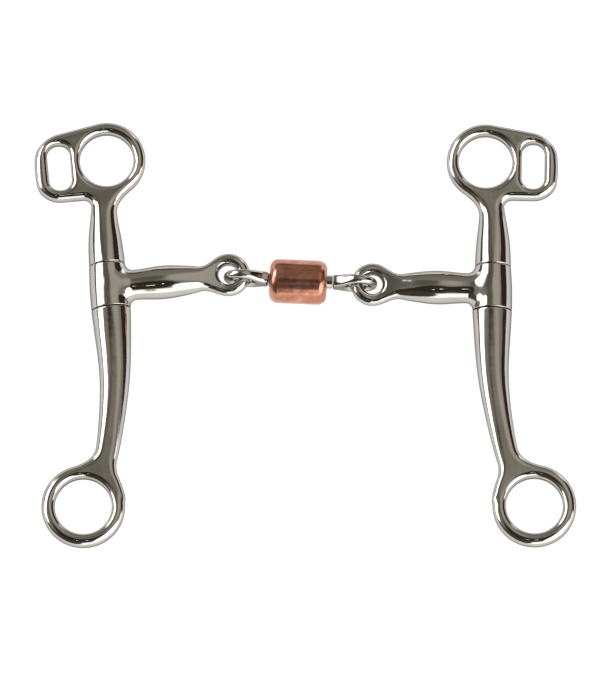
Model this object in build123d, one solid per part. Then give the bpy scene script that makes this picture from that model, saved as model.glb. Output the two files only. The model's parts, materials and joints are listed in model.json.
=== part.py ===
from build123d import *
import math
import os

# A loose-cheek curb bit, in millimetres. It lies flat: +X across the mouthpiece, +Y towards the headstall
# eyes and +Z up. The origin is under the middle of its box, on the surface that it rests on.
#
# Each side is drawn once, for the right, in its own frame: the origin is where the cannon's middle line
# crosses the swivel axis, +X points outwards, +Y runs up the swivel axis and +Z is square to the cheek.

# Mouthpiece sleeve, at the middle of each cheek, and the seams above and below it
SLEEVE_HALF = 8.3
SLEEVE_TOP_R = 6.7
SLEEVE_MIDDLE_R = 7.25
SLEEVE_LOW_R = 7.35
TOP_GAP = 0.15
LOW_GAP = 0.4
SEAM_CHAMFER = 0.25

# Swivel pin, pressed into both cheek pieces and free in the sleeve
PIN_R = 3.5
PIN_DEPTH = 9.0
PIN_CLEARANCE = 0.05

# Flat parts of the cheek
PLATE = 6.4
PLATE_ROUND = 2.1
HOLE_ROUND = 1.5

# Headstall eye, and the curb-strap loop beside it with its slot
EYE = (-3.4, 48.3)
EYE_HOLE_R = 10.0
EYE_OUTER_R = 14.4
SLOT = (14.3, 47.0)
SLOT_WIDTH = 8.5
SLOT_HEIGHT = 17.4
SLOT_CORNER = 4.0
LOOP_OUTER = 23.5
LOOP_LOW = 34.0
LOOP_SLOPE = math.radians(10)
LOOP_CORNER = 7.0
LOOP_BULGE_R = 45.0

# Flat neck between the stem and the eye, as its corners up the inner and the outer side
NECK_INNER = [(-5.2, 23), (-5.5, 38)]
NECK_OUTER = [(4.7, 23), (3.4, 38)]
NECK_INNER_WEB = 6.0
NECK_OUTER_WEB = 3.0

# Rein ring, and the flat end of the shank that carries it, with the corners where the two meet
RING = (16.8, -82.1)
RING_HOLE_R = 10.5
RING_OUTER_R = 15.4
HEEL_INNER = [(-0.9, -48.8), (5.0, -74.8)]
HEEL_OUTER = [(7.4, -48.8), (13.6, -74.8)]
HEEL_INNER_WEB = 6.0
HEEL_OUTER_WEB = 7.5
HEEL_INNER_CORNER = (4.4, -73.3)
HEEL_OUTER_CORNER = (12, -67.8)

# Round bars of the cheek as (middle line, height on the swivel axis, width, depth)
STEM = [(0, SLEEVE_HALF + TOP_GAP, 13.4, 13.4), (-0.1, 18.5, 12.2, 11), (-0.4, 26, 10.2, 8.8), (-1, 36, 8.8, 5.6)]
SHANK = [
    (0, -SLEEVE_HALF - LOW_GAP, 14.7, 14.7),
    (0.2, -19, 13.4, 12.6),
    (0.8, -33, 11.5, 10.4),
    (2.2, -45, 10.3, 8.8),
    (5.2, -58.8, 9.2, 7),
    (8.6, -69.8, 8.6, 5.2),
]

# Cannon: where its eye is, and the bar as (distance from the swivel axis, height, depth)
CANNON = 44.45
CANNON_RISE = 0.55
CANNON_HOLE_R = 3.7
CANNON_EYE_R = 8.0
CANNON_PLATE = 5.0
CANNON_ROUND = 1.9
CANNON_BAR = [
    (4.5, 16, 12), (8.5, 12.9, 12.1), (12, 11.3, 11.3), (19.5, 12.4, 12.3), (26.5, 11.5, 11), (33, 9.3, 7.6),
    (39.4, 9.2, 4.2),
]
FLARE = [(35.5, 4.4), (41.5, 7.2)]

# Centre link, about the middle of its axle with +X along it; its neck is (distance, width, depth)
LINK_EYE = 21.5
LINK_HOLE_R = 4.0
LINK_OUTER_R = 7.0
LINK_WIDTH = 3.4
LINK_ROUND = 1.4
SHOULDER = 11.85
LINK_NECK = [(SHOULDER, 4.6, 6.4), (14, 4.2, 7.6), (16.4, 3, 8.4)]
AXLE_R = 2.4
TENON_R = 1.4
TENON_END = 15.2

# Copper roller, loose on the axle
ROLLER_R = 8.2
ROLLER_LENGTH = 21.3
ROLLER_CORNER = 3.2
ROLLER_BORE_R = 3.0
BORE_CHAMFER = 0.25

# How far a piece is run into its neighbour where the two are joined or cut
OVERLAP = 1.0

# How the loose pieces lie at rest, in degrees: turned on the table, and tipped down to the rein rings
LINK_TURN = -2.75
LEFT_TURN = 5.4
RIGHT_TURN = -1.3
CHEEK_TIP = 2.98

# Where each cannon's eye hangs on the link, along and across it, and how far the roller has slid and sagged
HANG = 26.75
LEFT_HANG_ACROSS = 0.9
RIGHT_HANG_ACROSS = -0.3
ROLLER_SLIDE = -0.8
ROLLER_SAG = -0.5


def ellipse_along_y(middle, height, width, depth):
    """Section of a cheek bar, square to the swivel axis."""
    return Plane((middle, height, 0), x_dir=(1, 0, 0), z_dir=(0, 1, 0)) * Ellipse(width / 2, depth / 2)


def ellipse_along_x(distance, height, depth):
    """Section of a mouthpiece bar, square to its length."""
    return Plane((distance, 0, 0), x_dir=(0, 1, 0), z_dir=(1, 0, 0)) * Ellipse(height / 2, depth / 2)


def round_corner(outline, near, radius):
    """Rounds the outline's corner nearest to a point."""
    corner = outline.vertices().sort_by_distance((*near, 0))[0]
    return fillet(corner, radius)


def rounded_plate(outline, thickness, outer_round, hole_round):
    """Flat piece with rounded edges, on both sides of the XY plane."""
    plate = extrude(outline, amount=thickness / 2, both=True)
    flats = plate.faces().filter_by(Axis.Z)
    plate = fillet([edge for face in flats for edge in face.outer_wire().edges()], outer_round)
    flats = plate.faces().filter_by(Axis.Z)
    return fillet([edge for face in flats for wire in face.inner_wires() for edge in wire.edges()], hole_round)


def pin_hole(radius, low, high):
    """Cylinder on the swivel axis between two heights."""
    middle = (low + high) / 2
    return Pos(0, middle, 0) * Rot(90, 0, 0) * Cylinder(radius, high - low)


def cheek_sheet(inner, outer):
    """Flat outline between an inner and an outer side, each given by its two ends."""
    corners = inner + outer[::-1]
    if inner[1][1] > inner[0][1]:
        corners = corners[::-1]
    return Polygon(*corners, align=None)


def strap_loop():
    """Outline of the curb-strap loop: a sloping top tangent to the eye, and a slightly bulging outer side."""
    top = (EYE[0] + EYE_OUTER_R * math.sin(LOOP_SLOPE), EYE[1] + EYE_OUTER_R * math.cos(LOOP_SLOPE))
    fall = (LOOP_OUTER - top[0]) * math.tan(LOOP_SLOPE)
    high = top[1] - fall
    loop = Polygon((EYE[0], LOOP_LOW), (LOOP_OUTER, LOOP_LOW), (LOOP_OUTER, high), top, align=None)
    loop &= Pos(LOOP_OUTER - LOOP_BULGE_R, (LOOP_LOW + high) / 2) * Circle(LOOP_BULGE_R)
    loop = round_corner(loop, (LOOP_OUTER, high), LOOP_CORNER)
    return round_corner(loop, (LOOP_OUTER, LOOP_LOW), LOOP_CORNER)


def upper_cheek():
    """Headstall eye, curb-strap slot and the stem down to the upper seam."""
    head = Pos(*EYE) * Circle(EYE_OUTER_R) + strap_loop() + cheek_sheet(NECK_INNER, NECK_OUTER)
    head = round_corner(head, (NECK_OUTER[1][0], LOOP_LOW), NECK_OUTER_WEB)
    head = round_corner(head, (NECK_INNER[1][0], LOOP_LOW), NECK_INNER_WEB)
    head -= Pos(*EYE) * Circle(EYE_HOLE_R)
    head -= Pos(*SLOT) * RectangleRounded(SLOT_WIDTH, SLOT_HEIGHT, SLOT_CORNER)
    piece = rounded_plate(head, PLATE, PLATE_ROUND, HOLE_ROUND)
    piece += loft([ellipse_along_y(*section) for section in STEM])
    return piece - pin_hole(PIN_R, SLEEVE_HALF + TOP_GAP - OVERLAP, SLEEVE_HALF + PIN_DEPTH)


def lower_shank():
    """Tapering bar from the lower seam, with the rein ring at its end."""
    foot = Pos(*RING) * Circle(RING_OUTER_R) + cheek_sheet(HEEL_INNER, HEEL_OUTER)
    foot = round_corner(foot, HEEL_OUTER_CORNER, HEEL_OUTER_WEB)
    foot = round_corner(foot, HEEL_INNER_CORNER, HEEL_INNER_WEB)
    foot -= Pos(*RING) * Circle(RING_HOLE_R)
    piece = rounded_plate(foot, PLATE, PLATE_ROUND, HOLE_ROUND)
    piece += loft([ellipse_along_y(*section) for section in SHANK])
    piece -= Pos(*RING) * Cylinder(RING_HOLE_R, PLATE)
    return piece - pin_hole(PIN_R, -SLEEVE_HALF - PIN_DEPTH, -SLEEVE_HALF - LOW_GAP + OVERLAP)


def swivel_pin():
    """Plain pin that joins the two cheek pieces through the sleeve."""
    return pin_hole(PIN_R, -SLEEVE_HALF - PIN_DEPTH, SLEEVE_HALF + PIN_DEPTH)


def cannon():
    """Barrel sleeve, mouthpiece bar and eye in one casting."""
    barrel = ThreePointArc((SLEEVE_TOP_R, SLEEVE_HALF), (SLEEVE_MIDDLE_R, 0), (SLEEVE_LOW_R, -SLEEVE_HALF))
    profile = barrel + Polyline(barrel @ 1, (0, -SLEEVE_HALF), (0, SLEEVE_HALF), barrel @ 0)
    sleeve = revolve(make_face(profile), Axis.Y)
    sleeve = chamfer(sleeve.edges().filter_by(GeomType.CIRCLE), SEAM_CHAMFER)
    bar = loft([ellipse_along_x(-distance, height, depth) for distance, height, depth in CANNON_BAR])
    bar &= Box(4 * CANNON, 2 * SLEEVE_HALF, 4 * SLEEVE_LOW_R)
    (near, low), (far, high) = FLARE
    flare = Polygon((-near, -low), (-near, low), (-far, high), (-far, -high), align=None)
    eye = Pos(-CANNON, 0) * Circle(CANNON_EYE_R) + flare
    eye -= Pos(-CANNON, 0) * Circle(CANNON_HOLE_R)
    eye = rounded_plate(eye, CANNON_PLATE, CANNON_ROUND, CANNON_ROUND)
    piece = sleeve + bar + Pos(0, CANNON_RISE, 0) * eye
    return piece - pin_hole(PIN_R + PIN_CLEARANCE, -SLEEVE_HALF - OVERLAP, SLEEVE_HALF + OVERLAP)


def link_eye():
    """Ring of the centre link at its +X end, on edge, with the neck that carries it."""
    wire = RectangleRounded(LINK_OUTER_R - LINK_HOLE_R, LINK_WIDTH, LINK_ROUND)
    ring = revolve(Pos((LINK_HOLE_R + LINK_OUTER_R) / 2, 0) * wire, Axis.Y)
    clear = Rot(90, 0, 0) * Cylinder(LINK_HOLE_R, 2 * LINK_OUTER_R)
    place = Pos(LINK_EYE, 0, 0)
    neck = loft([ellipse_along_x(*section) for section in LINK_NECK])
    return place * ring + (neck - place * clear)


def rod_along_x(radius, start, end):
    """Cylinder on the link's axis between two distances."""
    return Pos((start + end) / 2, 0, 0) * Rot(0, 90, 0) * Cylinder(radius, end - start)


def link_axle_half():
    """Left half of the link: eye, axle and the tenon riveted into the other half."""
    axle = rod_along_x(AXLE_R, -SHOULDER - OVERLAP, SHOULDER)
    tenon = rod_along_x(TENON_R, SHOULDER - OVERLAP, TENON_END)
    return mirror(link_eye(), Plane.YZ) + axle + tenon


def link_socket_half():
    """Right half of the link: eye with the socket for the tenon."""
    return link_eye() - rod_along_x(TENON_R, SHOULDER - OVERLAP, TENON_END)


def copper_roller():
    """Barrel with rounded ends that turns on the link's axle."""
    barrel = Rot(0, 90, 0) * Cylinder(ROLLER_R, ROLLER_LENGTH)
    barrel = fillet(barrel.edges().filter_by(GeomType.CIRCLE), ROLLER_CORNER)
    barrel -= rod_along_x(ROLLER_BORE_R, -ROLLER_LENGTH, ROLLER_LENGTH)
    rims = barrel.edges().filter_by(GeomType.CIRCLE).group_by(SortBy.RADIUS)[0]
    return chamfer(rims, BORE_CHAMFER)


def link_place():
    """Place of the centre link, at the height of the roller on the table."""
    return Pos(0, 0, ROLLER_R) * Rot(0, 0, LINK_TURN)


def roller_place():
    """Place of the roller, which has slid and sagged within its play on the axle."""
    return link_place() * Pos(ROLLER_SLIDE, ROLLER_SAG, 0)


def side_place(side, turn, across):
    """Place of one side: its cannon's eye hangs on the link, and its rein ring touches the table."""
    hook = link_place() * Pos(side * HANG, across, 0)
    lie = Rot(0, 0, turn) * Rot(CHEEK_TIP, 0, 0)
    return Pos(*hook.position) * lie * Pos(side * CANNON, -CANNON_RISE, 0)


def side_pieces(name, side, turn, across):
    """The four pieces of one side, by node name."""
    pieces = {
        "upper_cheek": upper_cheek(),
        "lower_shank": lower_shank(),
        "swivel_pin": swivel_pin(),
        "cannon": cannon(),
    }
    place = side_place(side, turn, across)
    placed = {}
    for piece_name, piece in pieces.items():
        solid = piece if side > 0 else mirror(piece, Plane.YZ)
        placed[f"{name}_{piece_name}"] = place * solid
    return placed


def middle_pieces():
    """The link's halves and the roller, by node name."""
    return {
        "link_axle_half": link_place() * link_axle_half(),
        "link_socket_half": link_place() * link_socket_half(),
        "copper_roller": roller_place() * copper_roller(),
    }


def all_pieces():
    """Every piece at rest, moved so that the origin is under the middle of the whole."""
    pieces = middle_pieces()
    pieces.update(side_pieces("left", -1, LEFT_TURN, LEFT_HANG_ACROSS))
    pieces.update(side_pieces("right", 1, RIGHT_TURN, RIGHT_HANG_ACROSS))
    box = Compound(children=[Compound(piece.solids()) for piece in pieces.values()]).bounding_box()
    middle = box.center()
    shift = Pos(-middle.X, -middle.Y, -box.min.Z)
    return {name: shift * piece for name, piece in pieces.items()}, shift


os.makedirs("parts", exist_ok=True)
PIECES, SHIFT = all_pieces()
for node, shape in PIECES.items():
    export_step(shape, f"parts/{node}.step")
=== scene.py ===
"""Looks of the curb bit: smooth polished castings and a copper roller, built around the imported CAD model."""
import json
import math

import bmesh
import bpy
import numpy as np
from mathutils import Matrix, Vector


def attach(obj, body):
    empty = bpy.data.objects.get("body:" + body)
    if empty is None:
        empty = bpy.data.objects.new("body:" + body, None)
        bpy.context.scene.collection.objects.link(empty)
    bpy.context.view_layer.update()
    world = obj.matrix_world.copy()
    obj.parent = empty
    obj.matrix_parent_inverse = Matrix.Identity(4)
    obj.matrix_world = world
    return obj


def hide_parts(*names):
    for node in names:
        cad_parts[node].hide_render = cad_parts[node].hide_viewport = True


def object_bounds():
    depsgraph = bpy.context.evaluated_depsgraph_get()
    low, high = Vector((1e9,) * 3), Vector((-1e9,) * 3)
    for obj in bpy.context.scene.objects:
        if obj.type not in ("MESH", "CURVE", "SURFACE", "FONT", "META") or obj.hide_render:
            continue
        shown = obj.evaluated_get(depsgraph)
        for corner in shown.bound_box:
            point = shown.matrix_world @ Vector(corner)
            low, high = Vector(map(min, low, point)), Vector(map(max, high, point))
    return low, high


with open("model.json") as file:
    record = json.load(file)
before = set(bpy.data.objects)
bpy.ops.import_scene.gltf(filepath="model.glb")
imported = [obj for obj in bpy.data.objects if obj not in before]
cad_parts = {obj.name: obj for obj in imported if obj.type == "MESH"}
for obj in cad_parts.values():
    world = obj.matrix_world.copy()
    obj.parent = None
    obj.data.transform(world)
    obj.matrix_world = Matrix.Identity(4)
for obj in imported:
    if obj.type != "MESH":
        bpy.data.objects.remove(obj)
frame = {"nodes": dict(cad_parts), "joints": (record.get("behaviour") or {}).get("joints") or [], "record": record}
cad_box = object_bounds()

# Every size below is in millimetres, in the frame of one side or of the link.
MM = 0.001

# Swivel sleeve, the seams above and below it, and the pin through it
SLEEVE_HALF = 8.3
SLEEVE_RADII = [(-8.3, 7.35), (0, 7.25), (8.3, 6.7)]
TOP_GAP = 0.15
LOW_GAP = 0.4
TOP_SEAM_ROUND = 0.4
LOW_SEAM_ROUND = 0.25
PIN_R = 3.5
PIN_DEPTH = 9.0
PIN_CLEARANCE = 0.05

# Cheek: how far the edges of the holes are rounded, and how wide the metal is round the eye and the ring
HOLE_ROUND = 2.2
EYE_BAND = 4.4
RING_BAND = 4.9

# Curb-strap loop
SLOT_HALF = (4.25, 8.7)
SLOT_CORNER = 4.0
LOOP_OUTER = 23.5
LOOP_LOW = 34.0
LOOP_SLOPE = math.radians(10)
LOOP_CORNER = 7.0
LOOP_BULGE_R = 45.0
LOOP_MIDDLE = 46.0

# Bars of the cheek, as (height, middle, half width, half depth, rounding)
STEM = [
    (8.4, 0, 6.7, 6.7, 6.7), (18.5, -0.1, 6.1, 5.5, 5.5), (26, -0.4, 5.1, 4.4, 4.3), (34, -1, 4.5, 3.3, 2.9),
    (39, -1, 4.5, 3.2, 2.7),
]
SHANK = [
    (-71, 9, 4.3, 3.2, 2.8), (-65, 7, 4.4, 3.25, 2.9), (-54, 4.2, 4.75, 3.9, 3.7),
    (-43.5, 2.2, 5.2, 4.5, 4.4), (-33, 0.8, 5.75, 5.2, 5.2), (-19, 0.2, 6.7, 6.3, 6.3),
    (-8.4, 0, 7.35, 7.35, 7.35),
]

# Fillets where the bars meet the eye and the ring, on the outer and the inner side
STEM_WEBS = (3.2, 6.0)
SHANK_WEBS = (7.5, 6.0)

# Cannon, as (distance from the swivel axis, half height, half depth)
CANNON = [
    (-47, 3.2, 2.5), (-39, 3.6, 2.55), (-34, 4.6, 3.6), (-26.5, 5.75, 5.5), (-19.5, 6.2, 6.15),
    (-12, 5.65, 5.65), (-4, 5.65, 5.65),
]
CANNON_LENGTH = 44.45
CANNON_RISE = 0.55
CANNON_HOLE_R = 3.7
CANNON_EYE_R = 8.0
CANNON_HOLE_ROUND = 1.9
CANNON_FLARE = 4.0
CANNON_FILLET = 2.6
BAR_ROUND = 0.98

# Centre link, as (distance along the axle, half width of the eye's wire)
LINK_WIRE = [(11.85, 2.3), (15, 2.15), (20, 1.75), (28.5, 1.6)]
LINK_HOLE_R = 4.0
LINK_EYE_R = 7.0
LINK_ROUND = 1.45
LINK_NECK_HALF = 3.3
LINK_NECK_WEB = 2.5
SHOULDER = 11.85
SHOULDER_ROUND = 0.5
AXLE_R = 2.4

# Copper roller
ROLLER_R = 8.2
ROLLER_HALF = 10.65
ROLLER_CORNER = 3.2
ROLLER_BORE_R = 3.0
ROLLER_BORE_ROUND = 0.35

# Meshes: their fineness, and the room round a piece in the box where it is sculpted
CHEEK_STEP = 0.45
LINK_STEP = 0.3
LATHE_TURNS = 128
RELAX_ROUNDS = 6
SETTLE_ROUNDS = 3
SMOOTH_ANGLE = math.radians(40)
ROOM = 2.0
SIDE_DEPTH = 9.0
SHANK_REACH = 10.0
LINK_ROOM = 1.0
LINK_HALF_WIDTH = 4.0
LINK_HALF_HEIGHT = 8.5


# ---- Places, from the frame ----

def joint(name):
    return next(j for j in frame["joints"] if j["name"] == name)


def mount(name):
    return next(m for m in frame["record"]["mounts"] if m["name"] == name)


def placing(origin, across, up, normal):
    """Matrix from a local frame in millimetres to the row frame in metres."""
    turn = Matrix((across, up, normal)).transposed().to_4x4()
    return Matrix.Translation(origin) @ turn @ Matrix.Scale(MM, 4)


def side_place(side, outward):
    """Frame of one side, from where the cannon meets the swivel axis: X outwards, Y up the axis, Z upwards."""
    swivel = joint(f"{side}_swivel")
    up = Vector(swivel["axis"]).normalized()
    normal = Vector(mount(f"{side}_rein_ring")["axis"]).normalized()
    return placing(swivel["pos_m"], up.cross(normal) * outward, up, normal)


def link_place(origin):
    """Frame of the link or the roller: X along the axle, Y along the holes of the link's eyes."""
    across = Vector(joint("roller_spin")["axis"]).normalized()
    up = Vector(joint("left_fold")["axis"]).normalized()
    return placing(origin, across, up, across.cross(up))


def local_point(place, name):
    """A mount's position in a local frame, in millimetres."""
    return place.inverted() @ Vector(mount(name)["pos_m"])


# ---- Shapes as distance fields: negative inside, zero on the surface ----

def curve(stations):
    """Smooth curves through rows of (position, value, value...), level beyond both ends."""
    table = np.array(stations, float)
    x, y = table[:, 0], table[:, 1:]
    gap = np.diff(x)
    rise = np.diff(y, axis=0) / gap[:, None]
    system = np.eye(len(x))
    right = np.zeros_like(y)
    for i in range(1, len(x) - 1):
        system[i, i - 1:i + 2] = gap[i - 1], 2 * (gap[i - 1] + gap[i]), gap[i]
        right[i] = 6 * (rise[i] - rise[i - 1])
    bend = np.linalg.solve(system, right)

    def at(position):
        position = np.clip(position, x[0], x[-1])
        i = np.clip(np.searchsorted(x, position) - 1, 0, len(gap) - 1)
        before = position - x[i]
        after = x[i + 1] - position
        values = []
        for k in range(y.shape[1]):
            b, y0, y1 = bend[:, k], y[:, k], y[:, k]
            cubic = (b[i] * after**3 + b[i + 1] * before**3) / (6 * gap[i])
            left = (y0[i] / gap[i] - b[i] * gap[i] / 6) * after
            values.append(cubic + left + (y1[i + 1] / gap[i] - b[i + 1] * gap[i] / 6) * before)
        return values

    return at


def round_max(a, b, radius):
    """Where both shapes are, with the edge between them rounded."""
    corner = np.hypot(np.maximum(a + radius, 0), np.maximum(b + radius, 0))
    return np.minimum(np.maximum(a, b), -radius) + corner


def round_min(a, b, radius):
    """Both shapes as one, with a fillet between them."""
    return -round_max(-a, -b, radius)


def disc(u, w, centre, radius):
    return np.hypot(u - centre[0], w - centre[1]) - radius


def rounded_box(u, w, centre, half, corner):
    across = np.abs(u - centre[0]) - half[0] + corner
    up = np.abs(w - centre[1]) - half[1] + corner
    return round_max(across, up, 0) - corner


def bar(u, w, stations):
    """Outline, half depth and rounding of a cheek bar."""
    at = curve(stations)
    middle, width, depth, edge = at(w)
    slope = at(w + 0.5)[0] - at(w - 0.5)[0]
    return (np.abs(u - middle) - width) / np.hypot(1, slope), middle, depth, edge


def upper_cheek(eye, slot, hole_r):
    """Headstall eye, curb-strap loop and stem."""
    def field(u, w, z):
        stem, middle, depth, edge = bar(u, w, STEM)
        outer_r = hole_r + EYE_BAND
        ring = disc(u, w, eye, outer_r)
        top = (u - eye[0]) * math.sin(LOOP_SLOPE) + (w - eye[1]) * math.cos(LOOP_SLOPE) - outer_r
        outer = disc(u, w, (LOOP_OUTER - LOOP_BULGE_R, LOOP_MIDDLE), LOOP_BULGE_R)
        loop = round_max(outer, LOOP_LOW - w, LOOP_CORNER)
        loop = round_max(loop, top, LOOP_CORNER)
        head = np.minimum(ring, np.maximum(loop, eye[0] + outer_r * math.sin(LOOP_SLOPE) - u))
        stem = np.maximum(stem, w - eye[1])
        outline = round_min(head, stem, np.where(u > middle, *STEM_WEBS))
        piece = round_max(outline, np.abs(z) - depth, edge)
        piece = round_max(piece, -disc(u, w, eye, hole_r), HOLE_ROUND)
        return round_max(piece, -rounded_box(u, w, slot, SLOT_HALF, SLOT_CORNER), HOLE_ROUND)

    return field


def lower_shank(ring, hole_r):
    """Tapering bar and rein ring."""
    def field(u, w, z):
        shank, middle, depth, edge = bar(u, w, SHANK)
        shank = np.maximum(shank, ring[1] + hole_r / 2 - w)
        outline = round_min(disc(u, w, ring, hole_r + RING_BAND), shank, np.where(u > middle, *SHANK_WEBS))
        piece = round_max(outline, np.abs(z) - depth, edge)
        return round_max(piece, -disc(u, w, ring, hole_r), HOLE_ROUND)

    return field


def cannon(u, w, z):
    """Sleeve, mouthpiece bar and eye."""
    centre = (-CANNON_LENGTH, CANNON_RISE)
    height, depth = curve(CANNON)(u)
    outline = np.maximum(np.abs(w) - height, -CANNON_LENGTH - u)
    outline = round_min(outline, disc(u, w, centre, CANNON_EYE_R), CANNON_FLARE)
    rod = round_max(outline, np.abs(z) - depth, np.minimum(depth, height) * BAR_ROUND)
    rod = round_max(rod, u, 0.5)
    rod = round_max(rod, -disc(u, w, centre, CANNON_HOLE_R), CANNON_HOLE_ROUND)
    sleeve = np.hypot(u, z) - curve(SLEEVE_RADII)(w)[0]
    return round_min(sleeve, rod, CANNON_FILLET)


def link_eye(centre, side, axle):
    """Half of the centre link: eye on edge, neck and, on one half, the axle."""
    def field(x, y, z):
        along = x * side
        neck = rounded_box(along, z, (SHOULDER + LINK_HOLE_R, 0), (LINK_HOLE_R, LINK_NECK_HALF), 0.5)
        outline = round_min(disc(along, z, (centre, 0), LINK_EYE_R), neck, LINK_NECK_WEB)
        piece = round_max(outline, np.abs(y) - curve(LINK_WIRE)(along)[0], LINK_ROUND)
        piece = round_max(piece, -disc(along, z, (centre, 0), LINK_HOLE_R), LINK_ROUND)
        piece = round_max(piece, SHOULDER - along, SHOULDER_ROUND)
        if not axle:
            return piece
        rod = np.maximum(np.hypot(y, z) - AXLE_R, np.abs(x) - SHOULDER)
        return np.minimum(piece, rod)

    return field


# ---- Meshes ----

def settled(field, points, reach):
    """Moves points onto the surface of a field."""
    small = 0.02
    for _ in range(SETTLE_ROUNDS):
        value = field(*points.T)
        slope = [field(*(points + d).T) - field(*(points - d).T) for d in np.eye(3) * small]
        slope = np.stack(slope, axis=1) / (2 * small)
        size = np.maximum((slope**2).sum(axis=1), 0.05)
        move = -value[:, None] * slope / size[:, None]
        points = points + np.clip(move, -reach, reach)
    return points


def surface(field, low, high, step):
    """Even quad mesh of the surface of a field, as points and faces."""
    axes = [np.arange(a, b + step, step) for a, b in zip(low, high)]
    inside = field(*np.meshgrid(*axes, indexing="ij")) < 0
    ends = [slice(None, -1), slice(1, None)]
    corners = sum(inside[i, j, k].astype(int) for i in ends for j in ends for k in ends)
    cells = (corners > 0) & (corners < 8)
    number = np.full(cells.shape, -1)
    number[cells] = np.arange(cells.sum())
    middles = np.meshgrid(*[a[:-1] + step / 2 for a in axes], indexing="ij")
    points = np.stack([m[cells] for m in middles], axis=1)
    faces = []
    for axis in range(3):
        full = np.moveaxis(inside, axis, 0)
        cell = np.moveaxis(number, axis, 0)
        i, j, k = np.nonzero((full[:-1] != full[1:])[:, 1:-1, 1:-1])
        around = [cell[i, j, k], cell[i, j + 1, k], cell[i, j + 1, k + 1], cell[i, j, k + 1]]
        quads = np.stack(around, axis=1)
        outwards = full[i, j + 1, k + 1] ^ (axis == 1)
        faces.append(np.where(outwards[:, None], quads, quads[:, ::-1]))
    faces = np.concatenate(faces)
    start = np.concatenate([faces[:, a] for a in (0, 1, 2, 3, 1, 2, 3, 0)])
    end = np.concatenate([faces[:, a] for a in (1, 2, 3, 0, 0, 1, 2, 3)])
    degree = np.bincount(start, minlength=len(points))[:, None]
    points = settled(field, points, step)
    for _ in range(RELAX_ROUNDS):
        sums = [np.bincount(start, weights=points[end, a], minlength=len(points)) for a in range(3)]
        points = points / 2 + np.stack(sums, axis=1) / degree / 2
        points = settled(field, points, step)
    return points, faces


def grown(bm, rim, radius, height):
    """Extrudes a round rim to a new radius (a function of the old one) and height on the swivel axis."""
    made = bmesh.ops.extrude_edge_only(bm, edges=rim)["geom"]
    for v in [v for v in made if isinstance(v, bmesh.types.BMVert)]:
        old = math.hypot(v.co.x, v.co.z)
        v.co = v.co.x * radius(old) / old, height, v.co.z * radius(old) / old
    return [e for e in made if isinstance(e, bmesh.types.BMEdge)]


def seam_end(bm, height, up):
    """Cuts a piece square across the swivel axis and rounds the edge. Gives the rim that is left open."""
    radius = TOP_SEAM_ROUND if height > 0 else LOW_SEAM_ROUND
    near = [f for f in bm.faces if abs(f.calc_center_median().x) < 3 * SLEEVE_HALF / 2]
    parts = near + list({e for f in near for e in f.edges}) + list({v for f in near for v in f.verts})
    start = height - up * radius
    cut = bmesh.ops.bisect_plane(
        bm, geom=parts, plane_co=(0, start, 0), plane_no=(0, up, 0), clear_outer=True,
    )
    rim = [e for e in cut["geom_cut"] if isinstance(e, bmesh.types.BMEdge)]
    turned = 0
    for turn in (math.pi / 6, math.pi / 3, math.pi / 2):
        shrink = radius * (math.cos(turned) - math.cos(turn))
        rim = grown(bm, rim, lambda old: old - shrink, start + up * radius * math.sin(turn))
        turned = turn
    return rim


def blind_hole(bm, height, up):
    """Seam end with the hole that the pin is pressed into."""
    rim = seam_end(bm, height, up)
    rim = grown(bm, rim, lambda old: PIN_R, height)
    rim = grown(bm, rim, lambda old: PIN_R, -up * (SLEEVE_HALF + PIN_DEPTH))
    bmesh.ops.contextual_create(bm, geom=rim)


def through_hole(bm):
    """Both ends of the sleeve, with the pin's hole right through it."""
    top = seam_end(bm, SLEEVE_HALF, 1)
    low = seam_end(bm, -SLEEVE_HALF, -1)
    top = grown(bm, top, lambda old: PIN_R + PIN_CLEARANCE, SLEEVE_HALF)
    top = grown(bm, top, lambda old: PIN_R + PIN_CLEARANCE, -SLEEVE_HALF)
    bmesh.ops.bridge_loops(bm, edges=top + low)


def to_object(name, bm, place):
    """Puts a local mesh in its place, as a smooth object."""
    bm.transform(place)
    if place.determinant() < 0:
        bmesh.ops.reverse_faces(bm, faces=bm.faces[:])
    mesh = bpy.data.meshes.new(name)
    bm.to_mesh(mesh)
    bm.free()
    mesh.shade_smooth()
    mesh.set_sharp_from_angle(angle=SMOOTH_ANGLE)
    obj = bpy.data.objects.new(name, mesh)
    bpy.context.scene.collection.objects.link(obj)
    return obj


def sculpted(field, low, high, step):
    """Mesh of a field, ready to be cut."""
    points, faces = surface(field, low, high, step)
    mesh = bpy.data.meshes.new("sculpted")
    mesh.from_pydata(points.tolist(), [], faces.tolist())
    bm = bmesh.new()
    bm.from_mesh(mesh)
    bpy.data.meshes.remove(mesh)
    return bm


def lathe(profile):
    """Solid of revolution about X from a closed profile of (along, radius)."""
    bm = bmesh.new()
    rings = []
    for turn in range(LATHE_TURNS):
        angle = 2 * math.pi * turn / LATHE_TURNS
        rings.append([bm.verts.new((x, r * math.cos(angle), r * math.sin(angle))) for x, r in profile])
    for turn, ring in enumerate(rings):
        after = rings[(turn + 1) % LATHE_TURNS]
        for i in range(len(profile)):
            k = (i + 1) % len(profile)
            bm.faces.new((ring[i], ring[k], after[k], after[i]))
    bmesh.ops.recalc_face_normals(bm, faces=bm.faces[:])
    return bm


def arc(centre, radius, start, end, steps):
    """Points on an arc, between two angles in degrees."""
    angles = [math.radians(start + (end - start) * i / steps) for i in range(steps + 1)]
    return [(centre[0] + radius * math.cos(a), centre[1] + radius * math.sin(a)) for a in angles]


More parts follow.
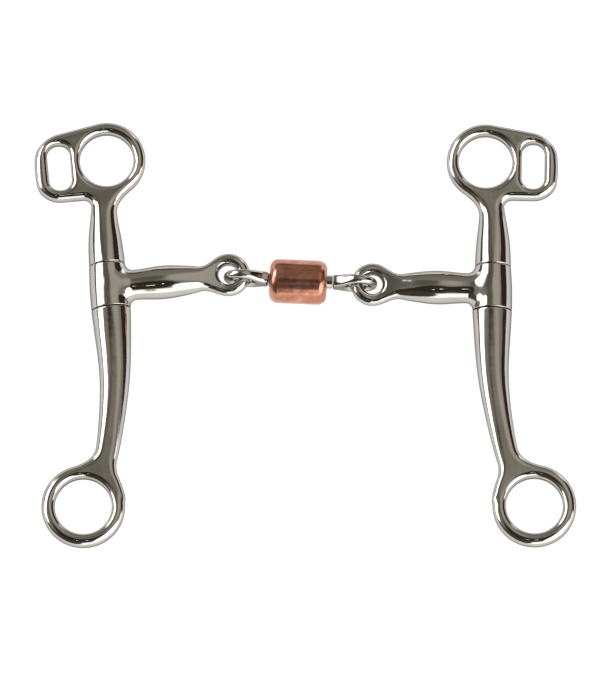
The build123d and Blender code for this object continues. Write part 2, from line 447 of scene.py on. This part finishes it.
def roller_profile():
    """Half section of the roller, with rounded shoulders and a softened bore."""
    outer = (ROLLER_HALF - ROLLER_CORNER, ROLLER_R - ROLLER_CORNER)
    inner = (ROLLER_HALF - ROLLER_BORE_ROUND, ROLLER_BORE_R + ROLLER_BORE_ROUND)
    right = arc(inner, ROLLER_BORE_ROUND, -90, 0, 4) + arc(outer, ROLLER_CORNER, 0, 90, 14)
    return right + [(-x, r) for x, r in reversed(right)]


# ---- Materials ----

def nodes_of(name):
    material = bpy.data.materials.new(name)
    material.use_nodes = True
    tree = material.node_tree
    return material, tree, tree.nodes["Principled BSDF"]


def add(tree, kind, settings=None, **inputs):
    """A node with its settings and unlinked inputs."""
    node = tree.nodes.new(kind)
    for key, value in (settings or {}).items():
        setattr(node, key, value)
    for key, value in inputs.items():
        node.inputs[key.replace("_", " ")].default_value = value
    return node


def ramp(tree, source, stops):
    """Colour ramp from (position, colour) stops."""
    node = tree.nodes.new("ShaderNodeValToRGB")
    elements = node.color_ramp.elements
    while len(elements) < len(stops):
        elements.new(0.5)
    for element, (position, colour) in zip(elements, stops):
        element.position = position
        element.color = (*colour, 1) if isinstance(colour, tuple) else (colour, colour, colour, 1)
    tree.links.new(source, node.inputs["Fac"])
    return node.outputs["Color"]


def noise(tree, scale, detail, stretch=(1, 1, 1)):
    """Noise over the piece's own coordinates."""
    place = add(tree, "ShaderNodeTexCoord")
    mapping = add(tree, "ShaderNodeMapping", Scale=stretch)
    tree.links.new(place.outputs["Object"], mapping.inputs["Vector"])
    node = add(tree, "ShaderNodeTexNoise", Scale=scale, Detail=detail)
    tree.links.new(mapping.outputs["Vector"], node.inputs["Vector"])
    return node.outputs["Fac"]


def bumps(tree, shader, layers):
    """Stacks bump layers of (height source, distance)."""
    normal = None
    for source, distance in layers:
        node = add(tree, "ShaderNodeBump", Strength=1.0, Distance=distance)
        tree.links.new(source, node.inputs["Height"])
        if normal:
            tree.links.new(normal, node.inputs["Normal"])
        normal = node.outputs["Normal"]
    tree.links.new(normal, shader.inputs["Normal"])


def polished_steel():
    """Hand-polished stainless casting: soft waves, hairline scratches and faint smears."""
    material, tree, shader = nodes_of("polished_stainless")
    shader.inputs["Metallic"].default_value = 1
    tone = ramp(tree, noise(tree, 70, 3), [(0.3, (0.52, 0.50, 0.465)), (0.7, (0.58, 0.56, 0.525))])
    tree.links.new(tone, shader.inputs["Base Color"])
    shader.inputs["Specular Tint"].default_value = (0.25, 0.24, 0.22, 1)
    smear = ramp(tree, noise(tree, 160, 5), [(0.35, 0.05), (0.75, 0.13)])
    tree.links.new(smear, shader.inputs["Roughness"])
    waves = noise(tree, 130, 2)
    hairlines = noise(tree, 400, 3, (1, 14, 1))
    bumps(tree, shader, [(waves, 0.00008), (hairlines, 0.000004)])
    return material


def copper():
    """Polished copper, slightly tarnished, with fine marks round the roller."""
    material, tree, shader = nodes_of("worn_copper")
    shader.inputs["Metallic"].default_value = 0.9
    tarnish = [(0.3, (0.42, 0.16, 0.10)), (0.55, (0.58, 0.26, 0.18)), (0.8, (0.72, 0.39, 0.29))]
    tone = ramp(tree, noise(tree, 260, 6), tarnish)
    tree.links.new(tone, shader.inputs["Base Color"])
    dull = ramp(tree, noise(tree, 420, 5), [(0.3, 0.16), (0.75, 0.28)])
    tree.links.new(dull, shader.inputs["Roughness"])
    turning = noise(tree, 900, 3, (1, 0.03, 0.03))
    dents = noise(tree, 320, 2)
    bumps(tree, shader, [(dents, 0.00006), (turning, 0.000006)])
    return material


def floor_material():
    """Matt white sheet that shines a little, so that it stays white right under the bit."""
    material, tree, shader = nodes_of("pale_floor")
    tone = ramp(tree, noise(tree, 9, 3), [(0.3, 0.12), (0.7, 0.15)])
    tree.links.new(tone, shader.inputs["Base Color"])
    shader.inputs["Roughness"].default_value = 0.7
    shader.inputs["Specular IOR Level"].default_value = 0
    shader.inputs["Emission Color"].default_value = (1, 1, 1, 1)
    shader.inputs["Emission Strength"].default_value = 0.96
    return material


# ---- Pieces ----

def finish_piece(obj, material, body, node):
    obj.data.materials.append(material)
    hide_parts(node)
    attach(obj, body)


def make_side(side, outward, steel):
    """The three visible castings of one side."""
    place = side_place(side, outward)
    eye = local_point(place, f"{side}_headstall_eye")
    ring = local_point(place, f"{side}_rein_ring")
    slot = local_point(place, f"{side}_curb_slot")
    eye_r = mount(f"{side}_headstall_eye")["dims"]["r_mm"]
    ring_r = mount(f"{side}_rein_ring")["dims"]["r_mm"]
    top = SLEEVE_HALF + TOP_GAP
    low = -SLEEVE_HALF - LOW_GAP

    around = eye_r + EYE_BAND + ROOM
    head = sculpted(
        upper_cheek(eye, slot, eye_r), (eye.x - around, top - ROOM, -SIDE_DEPTH),
        (LOOP_OUTER + ROOM, eye.y + around, SIDE_DEPTH), CHEEK_STEP,
    )
    blind_hole(head, top, -1)
    piece = to_object(f"{side}_upper_cheek_polished", head, place)
    finish_piece(piece, steel, f"{side}_cheek", f"{side}_upper_cheek")

    around = ring_r + RING_BAND + ROOM
    foot = sculpted(
        lower_shank(ring, ring_r), (-SHANK_REACH, ring.y - around, -SIDE_DEPTH),
        (ring.x + around, low + ROOM, SIDE_DEPTH), CHEEK_STEP,
    )
    blind_hole(foot, low, 1)
    piece = to_object(f"{side}_lower_shank_polished", foot, place)
    finish_piece(piece, steel, f"{side}_cheek", f"{side}_lower_shank")

    reach = CANNON_LENGTH + CANNON_EYE_R + ROOM
    middle = sculpted(
        cannon, (-reach, -SLEEVE_HALF - ROOM, -SIDE_DEPTH),
        (SIDE_DEPTH, SLEEVE_HALF + ROOM, SIDE_DEPTH), CHEEK_STEP,
    )
    through_hole(middle)
    piece = to_object(f"{side}_cannon_polished", middle, place)
    finish_piece(piece, steel, f"{side}_mouthpiece", f"{side}_cannon")
    for slot_used in frame["nodes"][f"{side}_swivel_pin"].material_slots:
        slot_used.material = steel


def make_link(steel, red_metal):
    """The link's two halves and the roller."""
    ends = [Vector(joint(f"{side}_fold")["pos_m"]) for side in ("left", "right")]
    place = link_place((ends[0] + ends[1]) / 2)
    middle = place.inverted() @ ends[1]
    reach = middle.x + LINK_EYE_R + LINK_ROOM
    for node, side, axle in (("link_axle_half", -1, True), ("link_socket_half", 1, False)):
        inner = SHOULDER + LINK_ROOM if axle else -SHOULDER + LINK_ROOM
        low, high = sorted((side * reach, -side * inner))
        half = sculpted(
            link_eye(middle.x, side, axle), (low, -LINK_HALF_WIDTH, -LINK_HALF_HEIGHT),
            (high, LINK_HALF_WIDTH, LINK_HALF_HEIGHT), LINK_STEP,
        )
        piece = to_object(f"{node}_polished", half, place)
        finish_piece(piece, steel, "centre_link", node)
    roller_place = link_place(joint("roller_spin")["pos_m"])
    roller = to_object("copper_roller_polished", lathe(roller_profile()), roller_place)
    finish_piece(roller, red_metal, "roller", "copper_roller")


# ---- Floor, light and camera ----

FLOOR_SIZE = 3.0


def make_floor():
    bpy.ops.mesh.primitive_plane_add(size=FLOOR_SIZE, location=(0, 0, 0))
    floor = bpy.context.object
    floor.name = "floor"
    floor.data.materials.append(floor_material())


# What stands round the table, as (bearing from +X towards +Y, height, reach, softness of the edge, colour).
# All but the colour are in degrees. Later panels cover earlier ones.
PANELS = [
    # Ceiling and far wall, with a lighter and a darker part
    (90, 82, 66, 12, (0.30, 0.28, 0.24)),
    (95, 10, 34, 14, (0.26, 0.245, 0.21)),
    (35, 62, 18, 16, (0.55, 0.51, 0.45)),
    (130, 66, 15, 14, (0.15, 0.143, 0.118)),
    # Dark camera side, and its low left part
    (254, 62, 28, 6, (0.042, 0.037, 0.03)),
    (238, 20, 27, 5, (0.075, 0.068, 0.055)),
    (217, 8, 24, 6, (0.095, 0.086, 0.07)),
    # Dark skirting to the left and behind
    (172, 0, 36, 4, (0.10, 0.10, 0.09)),
    (90, -2, 16, 4, (0.08, 0.075, 0.065)),
    # Windows: front right, back left and left
    (318, 30, 24, 6, (3.0, 3.0, 2.95)),
    (150, 36, 18, 6, (3.6, 3.6, 3.6)),
    (178, 24, 16, 5, (3.6, 3.6, 3.6)),
    # Dark red-brown card on the right
    (25, 14, 24, 5, (0.045, 0.028, 0.022)),
    # Two small lights on the camera side
    (277, 66, 1.6, 0.8, (2.6, 2.6, 2.6)),
    (256, 60, 1.3, 0.8, (2.6, 2.6, 2.6)),
]
HORIZON = (1.9, 1.9, 1.88)


def towards(bearing, height):
    bearing, height = math.radians(bearing), math.radians(height)
    level = math.cos(height)
    return Vector((level * math.cos(bearing), level * math.sin(bearing), math.sin(height)))


def make_world():
    """White surroundings, covered by the panels one after another."""
    world = bpy.data.worlds.new("studio")
    world.use_nodes = True
    bpy.context.scene.world = world
    tree = world.node_tree
    background = tree.nodes["Background"]
    place = add(tree, "ShaderNodeTexCoord")
    colour = None
    for bearing, height, reach, soft, tint in PANELS:
        aim = add(tree, "ShaderNodeVectorMath", {"operation": "DOT_PRODUCT"})
        aim.inputs[1].default_value = towards(bearing, height)
        tree.links.new(place.outputs["Generated"], aim.inputs[0])
        edge = add(tree, "ShaderNodeMapRange", {"interpolation_type": "SMOOTHSTEP"})
        edge.inputs["From Min"].default_value = math.cos(math.radians(reach + soft / 2))
        edge.inputs["From Max"].default_value = math.cos(math.radians(reach - soft / 2))
        tree.links.new(aim.outputs["Value"], edge.inputs["Value"])
        mix = add(tree, "ShaderNodeMixRGB")
        mix.inputs["Color1"].default_value = (*HORIZON, 1)
        mix.inputs["Color2"].default_value = (*tint, 1)
        tree.links.new(edge.outputs["Result"], mix.inputs["Fac"])
        if colour:
            tree.links.new(colour, mix.inputs["Color1"])
        colour = mix.outputs["Color"]
    tree.links.new(colour, background.inputs["Color"])


CAMERA_RISE = 73.3
CAMERA_DISTANCE = 3.0
CAMERA_SHIFT = Vector((-0.0015, -0.0015, 0))
FRAME_WIDTH = 0.2218
FRAME_SHAPE = 1.125
SENSOR = 36.0


def make_camera():
    """Long lens over the rein-ring end. The sensor's width goes to the picture's long side, its height."""
    low, high = cad_box
    data = bpy.data.cameras.new("camera")
    camera = bpy.data.objects.new("camera", data)
    bpy.context.scene.collection.objects.link(camera)
    bpy.context.scene.camera = camera
    rise = math.radians(CAMERA_RISE)
    back = Vector((0, -math.cos(rise), math.sin(rise)))
    target = (low + high) / 2 + CAMERA_SHIFT
    camera.location = target + back * CAMERA_DISTANCE
    camera.rotation_euler = (-back).to_track_quat("-Z", "Y").to_euler()
    data.sensor_width = SENSOR
    data.lens = SENSOR * CAMERA_DISTANCE / (FRAME_WIDTH * FRAME_SHAPE)
    bpy.context.scene.view_settings.view_transform = "Standard"


make_floor()
make_world()
make_camera()
STEEL = polished_steel()
make_side("left", -1, STEEL)
make_side("right", 1, STEEL)
make_link(STEEL, copper())
